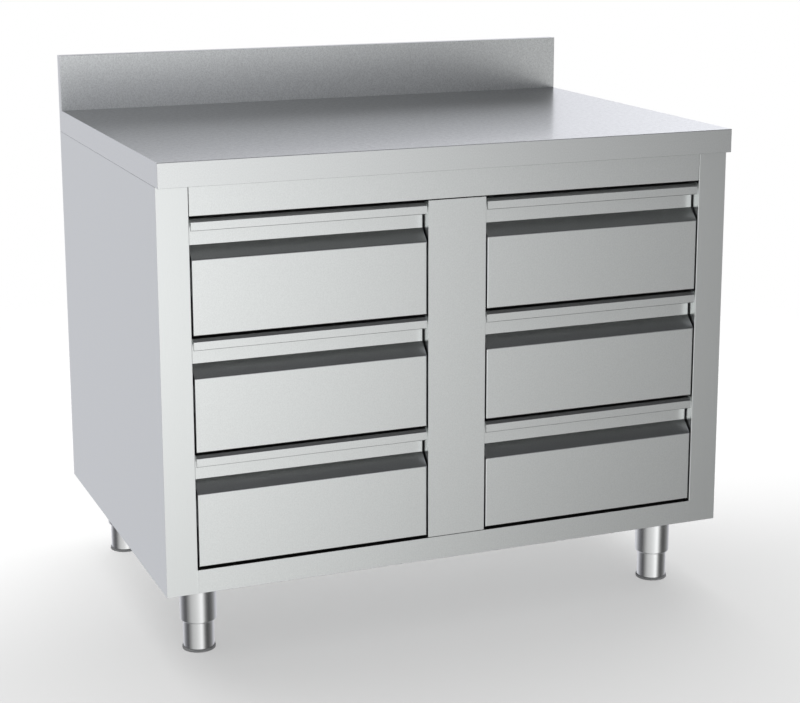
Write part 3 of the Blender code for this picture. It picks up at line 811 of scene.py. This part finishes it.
class TABLE_OT_face_frame(bpy.types.Operator):
    """Folds the top rail, the centre post and the bottom panel with its rail"""

    bl_idname = "work_table.face_frame"
    bl_label = "Rails and post"

    def execute(self, context):
        sizes = context.scene.table_sizes
        for node, bm, outward, radius in (
                ("top_rail", self.top_rail(), FRONT, sizes.broken_edge),
                ("centre_post", self.centre_post(sizes), FRONT, sizes.jamb_fold),
                ("bottom_panel", self.bottom_panel(sizes), DOWN, sizes.broken_edge)):
            face_outward(bm, outward)
            # The top rail's faces that look down or back get painted shade
            if node == "top_rail":
                mark_painted_shade(bm)
            sheet_piece(context, f"folded_{node}", bm, sizes.cabinet_sheet, CABINET, "cabinet_steel", [node],
                        painted_shade_look="painted_grip_shade", rounds=[(radius, anywhere)])
        for side in ("left", "right"):
            weld = self.dressed_weld(sizes, f"{side}_side_panel")
            solid_piece(context, f"{side}_dressed_weld", weld, CABINET, "cabinet_steel")
        return {"FINISHED"}

    @staticmethod
    def top_rail():
        """The rail over the drawers, with a return at its top and its foot."""
        low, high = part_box("top_rail")
        profile = [(high.y, high.z), (low.y, high.z), (low.y, low.z), (high.y, low.z)]
        return pulled_across(profile, low.x, high.x)

    @staticmethod
    def centre_post(sizes):
        """The post between the drawers, with a jamb on both sides."""
        low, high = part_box("centre_post")
        profile = [(low.x, high.y), (low.x, low.y), (high.x, low.y), (high.x, high.y)]
        return pulled_up(profile, low.z, high.z - sizes.post_gap)

    @staticmethod
    def dressed_weld(sizes, node):
        """The ground-down weld between a stile and the bottom rail."""
        low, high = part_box(node)
        inner = low.x + sizes.stile_width if low.x < 0 else high.x - sizes.stile_width
        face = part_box("bottom_panel")[0].y
        half = sizes.weld_width / 2
        proud = sizes.weld_proud
        profile = [(inner - half, face), (inner - half / 2, face - proud), (inner + half / 2, face - proud),
                   (inner + half, face)]
        foot = low.z + sizes.broken_edge
        top = low.z + sizes.bottom_rail - sizes.broken_edge
        return pulled_bar([(x, y, foot) for x, y in profile], (0, 0, top - foot))

    @staticmethod
    def bottom_panel(sizes):
        """The cabinet's floor with the bottom rail folded up at its front and returns on its other sides."""
        low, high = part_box("bottom_panel")
        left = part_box("left_side_panel")[0].x + sizes.stile_width + sizes.weld_gap
        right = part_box("right_side_panel")[1].x - sizes.stile_width - sizes.weld_gap
        rail_top = low.z + sizes.bottom_rail
        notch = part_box("left_liner")[0].y
        profile = [(low.y + sizes.jamb_depth, rail_top), (low.y, rail_top), (low.y, low.z), (high.y, low.z)]
        bm = pulled_across(profile, left, right)
        bmesh.ops.bisect_plane(bm, geom=bm.verts[:] + bm.edges[:] + bm.faces[:], dist=SAME_PLACE,
                               plane_co=(0, notch, 0), plane_no=BACK)
        for rail_end, floor_end in ((left, low.x), (right, high.x)):
            behind = open_edges(bm, lambda place: place.y > notch - SAME_PLACE and same(place.z, low.z)
                                and same(place.x, rail_end))
            fold_flange(bm, behind, lambda place: (floor_end - rail_end, 0, 0))
        rim = open_edges(bm, lambda place: same(place.x, low.x) or same(place.x, high.x)
                         or same(place.y, high.y))
        upturned = [edge for edge in rim if not all(same(vert.co.y, notch) for vert in edge.verts)]
        fold_flange(bm, upturned, lambda place: (0, 0, sizes.panel_return))
        return bm


class TABLE_OT_inner_sheets(bpy.types.Operator):
    """Finishes the back panel, the liners and the partitions"""

    bl_idname = "work_table.inner_sheets"
    bl_label = "Inner sheets"

    def execute(self, context):
        refinish(context, "back_panel", "cabinet_steel")
        for node in ("left_liner", "left_partition", "right_partition", "right_liner"):
            refinish(context, node, "inner_steel")
        return {"FINISHED"}


class TABLE_OT_drawer_fronts(bpy.types.Operator):
    """Folds the drawer fronts, from the hem behind the lip round the grip and down to the foot return"""

    bl_idname = "work_table.drawer_fronts"
    bl_label = "Drawer fronts"

    def execute(self, context):
        sizes = context.scene.table_sizes
        for drawer in DRAWERS:
            node = f"{drawer}_drawer_front"
            sheet_piece(context, f"{drawer}_folded_front", self.front(sizes, node), sizes.cabinet_sheet,
                        f"{drawer}_drawer", "cabinet_steel", [node], painted_shade_look="painted_grip_shade")
        return {"FINISHED"}

    @staticmethod
    def front(sizes, node):
        """A front as one strip with a return on both sides. Depth is measured back from its face."""
        low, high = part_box(node)
        sheet = sizes.cabinet_sheet
        height = high.z - low.z
        top = height - sheet
        face = height - sizes.grip_height - sizes.slope_height
        lip_foot = height - sizes.lip_chamfer - sizes.lip_height + sheet
        chamfer = sizes.lip_chamfer + sheet * math.tan(math.radians(45) / 2)
        hem = sheet + sizes.hem_gap
        profile = [
            (hem, lip_foot + sizes.lip_hem), (hem, lip_foot), (sheet, lip_foot), (sheet, height - chamfer),
            (chamfer, top), (sizes.grip_depth, top), (sizes.grip_depth, face + sizes.slope_height),
            (0, face), (0, 0), (sizes.grip_depth + sheet, 0), (sizes.grip_depth + sheet, sizes.foot_return)]
        bm = pulled_across([(low.y + depth, low.z + level) for depth, level in profile], low.x, high.x)
        face_outward(bm, FRONT)
        press_strip(bm, sizes, sheet)
        # Faces in the grip and under the front that look down or back get painted shade
        mark_painted_shade(bm)
        sides = [edge for end in (low.x, high.x)
                 for edge in open_edges(bm, lambda place: same(place.x, end) and same(place.y, low.y))]
        fold_flange(bm, sides, lambda place: (0, sizes.side_return, 0))
        face_outward(bm, FRONT)
        press(bm, [edge for edge in sides if edge.is_manifold], sizes.inner_radius + sheet)
        return bm


class TABLE_OT_drawer_boxes(bpy.types.Operator):
    """Folds the drawer boxes and puts the inner runner members on their sides"""

    bl_idname = "work_table.drawer_boxes"
    bl_label = "Drawer boxes"

    def execute(self, context):
        sizes = context.scene.table_sizes
        for drawer in DRAWERS:
            body = f"{drawer}_drawer"
            low, high = tray_box(sizes, drawer)
            sheet_piece(context, f"{drawer}_tray", self.tray(sizes, low, high), sizes.cabinet_sheet, body,
                        "inner_steel", [f"{drawer}_drawer_box"])
            for hand in HANDS:
                bm = self.inner_member(sizes, drawer, hand, low, high)
                sheet_piece(context, f"{drawer}_inner_runner_{hand}", bm, sizes.runner_sheet, body,
                            "runner_steel")
        return {"FINISHED"}

    @staticmethod
    def tray(sizes, low, high):
        """An open tray with its rim turned in."""
        bm = new_sheet()
        middle = (low + high) / 2
        # A grid of this size is one metre wide
        bmesh.ops.create_grid(bm, x_segments=1, y_segments=1, size=0.5)
        bmesh.ops.scale(bm, verts=bm.verts[:], vec=(high.x - low.x, high.y - low.y, 1))
        bmesh.ops.translate(bm, verts=bm.verts[:], vec=(middle.x, middle.y, low.z))
        rim = fold_flange(bm, bm.edges[:], lambda place: (0, 0, high.z - low.z))
        fold_flange(bm, rim, lambda place: (-math.copysign(sizes.box_rim, place.x - middle.x),
                                            -math.copysign(sizes.box_rim, place.y - middle.y), 0))
        face_outward(bm, DOWN)
        press(bm, folds(bm), sizes.box_corner)
        return bm

    @staticmethod
    def inner_member(sizes, drawer, hand, low, high):
        """A C section with its web on the tray's side and its flanges towards the cabinet."""
        runner_low, runner_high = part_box(f"{drawer}_outer_runner_{hand}")
        inset = Vector((0, 0, (runner_high.z - runner_low.z - sizes.runner_height) / 2))
        web = low.x if hand == "l" else high.x
        mouth = web - HANDS[hand] * sizes.runner_depth
        return channel(sizes, web, mouth, runner_low + inset, runner_high - inset)


class TABLE_OT_runners(bpy.types.Operator):
    """Folds the runner members on the cabinet and the ones between it and the drawers"""

    bl_idname = "work_table.runners"
    bl_label = "Runners"

    def execute(self, context):
        sizes = context.scene.table_sizes
        for drawer in DRAWERS:
            for member, body in (("outer", CABINET), ("middle", f"{drawer}_middle_runners")):
                for hand in HANDS:
                    node = f"{drawer}_{member}_runner_{hand}"
                    low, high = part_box(node)
                    web, mouth = (low.x, high.x) if hand == "l" else (high.x, low.x)
                    bm = channel(sizes, web, mouth, low, high)
                    sheet_piece(context, f"{drawer}_{member}_slide_{hand}", bm, sizes.runner_sheet, body,
                                "runner_steel", [node])
        return {"FINISHED"}


class TABLE_OT_legs(bpy.types.Operator):
    """Turns the leg sleeves on their mounting plates"""

    bl_idname = "work_table.legs"
    bl_label = "Leg sleeves"

    def execute(self, context):
        sizes = context.scene.table_sizes
        for leg in LEGS:
            node = f"{leg}_leg_sleeve"
            low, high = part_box(node)
            centre = (low + high) / 2
            solid_piece(context, f"{leg}_sleeve_tube", self.tube(sizes, leg, centre, low.z, high.z), CABINET,
                        "leg_steel", [node])
            solid_piece(context, f"{leg}_mounting_plate", self.plate(sizes, low, high), CABINET, "leg_steel")
        return {"FINISHED"}

    @staticmethod
    def tube(sizes, leg, centre, mouth, top):
        """A sleeve with its rounded mouth, and the collar inside that guides the foot."""
        foot_low, foot_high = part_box(f"{leg}_foot")
        bore = (foot_high.x - foot_low.x) / 2 + sizes.fit
        outer = sizes.sleeve_radius
        inner = outer - sizes.sleeve_wall
        collar = mouth + sizes.sleeve_collar
        under_plate = top - sizes.plate_thickness
        bm = turned([(outer, under_plate), (outer, mouth), (bore, mouth), (bore, collar),
                     (inner, collar + inner - bore), (inner, under_plate)], centre)
        press(bm, ring_edges(bm, centre, outer, mouth), sizes.sleeve_round, segments=8)
        press(bm, ring_edges(bm, centre, bore, mouth), sizes.small_round, segments=3)
        return bm

    @staticmethod
    def plate(sizes, low, high):
        """A mounting plate with round corners and broken edges."""
        bm = new_sheet()
        middle = (low + high) / 2
        bmesh.ops.create_cube(bm, size=1)
        bmesh.ops.scale(bm, verts=bm.verts[:], vec=(high.x - low.x, high.y - low.y, sizes.plate_thickness))
        bmesh.ops.translate(bm, verts=bm.verts[:],
                            vec=(middle.x, middle.y, high.z - sizes.plate_thickness / 2))
        upright = [edge for edge in bm.edges if same(edge.verts[0].co.x, edge.verts[1].co.x)
                   and same(edge.verts[0].co.y, edge.verts[1].co.y)]
        press(bm, upright, sizes.plate_corner, segments=8)
        press(bm, [edge for edge in folds(bm) if same(edge.verts[0].co.z, edge.verts[1].co.z)],
              sizes.small_round, segments=2)
        return bm


class TABLE_OT_feet(bpy.types.Operator):
    """Turns the levelling feet and the moulded bases under them"""

    bl_idname = "work_table.feet"
    bl_label = "Levelling feet"

    def execute(self, context):
        sizes = context.scene.table_sizes
        for leg in LEGS:
            body = f"{leg}_levelling_foot"
            low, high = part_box(f"{leg}_foot")
            centre = (low + high) / 2
            radius = (high.x - low.x) / 2
            inner = radius - sizes.foot_wall
            floor = low.z + sizes.foot_wall
            cup = turned([(0, low.z), (radius, low.z), (radius, high.z), (inner, high.z), (inner, floor),
                          (0, floor)], centre)
            for height in (low.z, high.z):
                press(cup, ring_edges(cup, centre, radius, height), sizes.small_round, segments=4)
            solid_piece(context, f"{leg}_foot_cup", cup, body, "leg_steel", [f"{leg}_foot"])
            low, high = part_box(f"{leg}_foot_pad")
            radius = (high.x - low.x) / 2
            base = turned([(0, high.z), (radius, high.z), (radius, low.z), (0, low.z)], centre)
            press(base, ring_edges(base, centre, radius, high.z), 2 * sizes.small_round, segments=5)
            press(base, ring_edges(base, centre, radius, low.z), sizes.small_round, segments=3)
            solid_piece(context, f"{leg}_moulded_base", base, body, "base_plastic", [f"{leg}_foot_pad"])
        return {"FINISHED"}


class TABLE_OT_fasteners(bpy.types.Operator):
    """Bolts the mounting plates, and rivets the drawer boxes to their fronts and runners"""

    bl_idname = "work_table.fasteners"
    bl_label = "Fasteners"

    def execute(self, context):
        sizes = context.scene.table_sizes
        for leg in LEGS:
            solid_piece(context, f"{leg}_plate_bolts", self.bolts(sizes, leg), CABINET, "runner_steel")
        for drawer in DRAWERS:
            solid_piece(context, f"{drawer}_rivets", self.rivets(sizes, drawer), f"{drawer}_drawer",
                        "runner_steel")
        return {"FINISHED"}

    @staticmethod
    def bolts(sizes, leg):
        """A hexagon head on a washer in each corner of a mounting plate."""
        bm = new_sheet()
        low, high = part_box(f"{leg}_leg_sleeve")
        under = high.z - sizes.plate_thickness
        bore, rim, thickness = sizes.bolt_head / 2, sizes.washer_radius, sizes.washer_thickness
        washer = [(bore, 0), (rim, 0), (rim, thickness), (bore, thickness)]
        for x in (low.x + sizes.bolt_inset, high.x - sizes.bolt_inset):
            for y in (low.y + sizes.bolt_inset, high.y - sizes.bolt_inset):
                turn(bm, washer, Vector((x, y, under)), DOWN, WASHER_STEPS)
                seat = Matrix.Translation((x, y, under - thickness))
                corners = bmesh.ops.create_circle(bm, cap_ends=True, segments=6, radius=sizes.bolt_head,
                                                  matrix=seat)["verts"]
                head = bmesh.ops.extrude_face_region(bm, geom=corners[0].link_faces[:])["geom"]
                bmesh.ops.translate(bm, verts=corners_of(head), vec=(0, 0, -sizes.bolt_height))
                end = [item for item in head if isinstance(item, bmesh.types.BMEdge)]
                press(bm, end, sizes.small_round, segments=3)
        bmesh.ops.recalc_face_normals(bm, faces=bm.faces[:])
        return bm

    @staticmethod
    def rivets(sizes, drawer):
        """Blind rivets with their mandrels' pits, along the front and the sides inside a drawer box."""
        bm = new_sheet()
        low, high = tray_box(sizes, drawer)
        runner_low, runner_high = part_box(f"{drawer}_outer_runner_l")
        outline = [(across * sizes.rivet_radius, up * sizes.rivet_height) for across, up in RIVET_OUTLINE]
        for share_across in RIVETS_ACROSS:
            x = low.x + share_across * (high.x - low.x)
            for level in (low.z + sizes.rivet_level, high.z - sizes.rivet_level):
                turn(bm, outline, Vector((x, low.y + sizes.cabinet_sheet, level)), BACK, RIVET_STEPS)
        level = (runner_low.z + runner_high.z) / 2
        for share_along in RIVETS_ALONG:
            y = runner_low.y + share_along * (runner_high.y - runner_low.y)
            turn(bm, outline, Vector((low.x + sizes.cabinet_sheet, y, level)), RIGHT, RIVET_STEPS)
            turn(bm, outline, Vector((high.x - sizes.cabinet_sheet, y, level)), LEFT, RIVET_STEPS)
        return bm


class TABLE_OT_stage(bpy.types.Operator):
    """Lays the floor, lights the table softly and sets up the camera"""

    bl_idname = "work_table.stage"
    bl_label = "Stage"

    def execute(self, context):
        stage = context.scene.table_stage
        context.scene.view_settings.view_transform = "Standard"
        self.floor(context, stage)
        self.world(context)
        self.lamp(context, stage)
        self.camera(context, stage)
        return {"FINISHED"}

    @staticmethod
    def floor(context, stage):
        """A pale disc that fades into the background, and that the steel doesn't mirror."""
        bm = bmesh.new()
        bmesh.ops.create_circle(bm, cap_ends=True, segments=FLOOR_SEGMENTS, radius=stage.floor_radius)
        mesh = bpy.data.meshes.new("floor")
        bm.to_mesh(mesh)
        bm.free()
        floor = bpy.data.objects.new("floor", mesh)
        context.scene.collection.objects.link(floor)
        material, book = new_finish("pale_floor")
        place = book.place()
        reach = book.node("ShaderNodeVectorMath", {"operation": "LENGTH"}, {0: place}, output="Value")
        depth = book.along(place, "Y")
        cover = (book.ease(reach, (FLOOR_FADE, stage.floor_radius), 1.0, 0.0)
                 * book.ease(depth, FLOOR_THINNING, 1.0, FLOOR_THIN))
        seen = 1 - book.ray("Camera") * (1 - stage.floor_cover)
        # The floor's colour is painted darker towards the front: a painted shade for the light's falloff
        tone = book.tones(book.ease(depth, FLOOR_PAINTED_SHADE_SPAN), stage.floor, darkest=FLOOR_PAINTED_SHADE, lightest=1.0)
        paint = book.node("ShaderNodeBsdfDiffuse", {}, {"Color": tone})
        clear = book.node("ShaderNodeBsdfTransparent")
        shown = cover * seen * (1 - book.ray("Glossy"))
        surface = book.node("ShaderNodeMixShader", {}, {0: shown, 1: clear, 2: paint})
        book.node("ShaderNodeOutputMaterial", {}, {"Surface": surface})
        mesh.materials.append(material)

    @staticmethod
    def world(context):
        """A white studio, with the floor, walls and ceiling that the steel mirrors."""
        world = bpy.data.worlds.new("studio")
        context.scene.world = world
        world.use_nodes = True
        book = NodeBook(world.node_tree)
        direction = book.node("ShaderNodeTexCoord", output="Generated")
        across, back, up = (book.along(direction, axis) for axis in "XYZ")
        bearing = book.node("ShaderNodeMath", {"operation": "ARCTAN2"}, {0: across, 1: 0 - back})
        around = bearing / (2 * math.pi) + HALF
        behind = book.ease(back, BACKDROP_START)
        near = book.ease(up, NEAR_FLOOR_END, NEAR_FLOOR, 1.0)
        below = book.ring(around, MIRRORED_FLOOR) * (near * (1 - behind) + behind)
        upper = book.ease(up, UPPER_START)
        above = book.ring(around, MIRRORED_WALLS) * (1 - upper) + book.ring(around, MIRRORED_UPPER) * upper
        walls = book.ease(up, WALLS_START)
        ceiling = book.ease(up, CEILING_START)
        dark = book.ease(across, DARK_START) * book.ease(back, DARK_END, 1.0, 0.0)
        overhead = ((CEILING_LIGHT - dark * (CEILING_LIGHT - CEILING_DARK))
                    * book.ease(up, OVERHEAD_START, CEILING_RIM, 1.0))
        studio = (below * (1 - walls) + above * walls) * (1 - ceiling) + overhead * ceiling
        camera, glossy = book.ray("Camera"), book.ray("Glossy")
        level = camera + (1 - camera) * (glossy * studio + (1 - glossy) * AMBIENT_LEVEL)
        tint = book.blend(glossy * (behind + walls * (1 - behind)), WHITE, BACKDROP_TINT)
        background = book.node("ShaderNodeBackground", {}, {"Color": tint, "Strength": level})
        book.node("ShaderNodeOutputWorld", {}, {"Surface": background})

    @staticmethod
    def lamp(context, stage):
        """A broad soft lamp over and behind the table, so that its shadow lies forward."""
        lamp = bpy.data.lights.new("overhead_lamp", "SUN")
        lamp.energy = stage.lamp_strength
        lamp.angle = stage.lamp_spread
        holder = bpy.data.objects.new("overhead_lamp", lamp)
        holder.rotation_euler = stage.lamp_turn
        holder.visible_glossy = False
        context.scene.collection.objects.link(holder)

    @staticmethod
    def camera(context, stage):
        """The camera at the angle of the photograph."""
        camera = bpy.data.cameras.new("camera")
        camera.lens = stage.lens
        camera.shift_x, camera.shift_y = stage.shift
        holder = bpy.data.objects.new("camera", camera)
        holder.location = stage.camera_place
        holder.rotation_euler = stage.camera_turn
        context.scene.collection.objects.link(holder)
        context.scene.camera = holder


OPERATORS = (TABLE_OT_worktop, TABLE_OT_side_panels, TABLE_OT_face_frame, TABLE_OT_inner_sheets,
             TABLE_OT_drawer_fronts, TABLE_OT_drawer_boxes, TABLE_OT_runners, TABLE_OT_legs, TABLE_OT_feet,
             TABLE_OT_fasteners, TABLE_OT_stage)


class TABLE_PT_pieces(bpy.types.Panel):
    """Lists what can be made of the table"""

    bl_idname = "TABLE_PT_pieces"
    bl_label = "Work Table"
    bl_space_type = "VIEW_3D"
    bl_region_type = "UI"
    bl_category = "Work Table"

    def draw(self, context):
        for operator in OPERATORS:
            self.layout.operator(operator.bl_idname)


GROUPS = {"table_sizes": TableSizes, "table_finishes": TableFinishes, "table_stage": TableStage}
CLASSES = (*GROUPS.values(), *OPERATORS, TABLE_PT_pieces)


def register():
    """Makes the table's settings, operators and panel known."""
    for item in CLASSES:
        bpy.utils.register_class(item)
    for name, group in GROUPS.items():
        setattr(bpy.types.Scene, name, bpy.props.PointerProperty(type=group))


def unregister():
    """Takes them away again."""
    for name in GROUPS:
        delattr(bpy.types.Scene, name)
    for item in reversed(CLASSES):
        bpy.utils.unregister_class(item)


def main():
    """Makes every piece in order."""
    register()
    for operator in OPERATORS:
        group, name = operator.bl_idname.split(".")
        getattr(getattr(bpy.ops, group), name)()


if __name__ == "__main__":
    main()
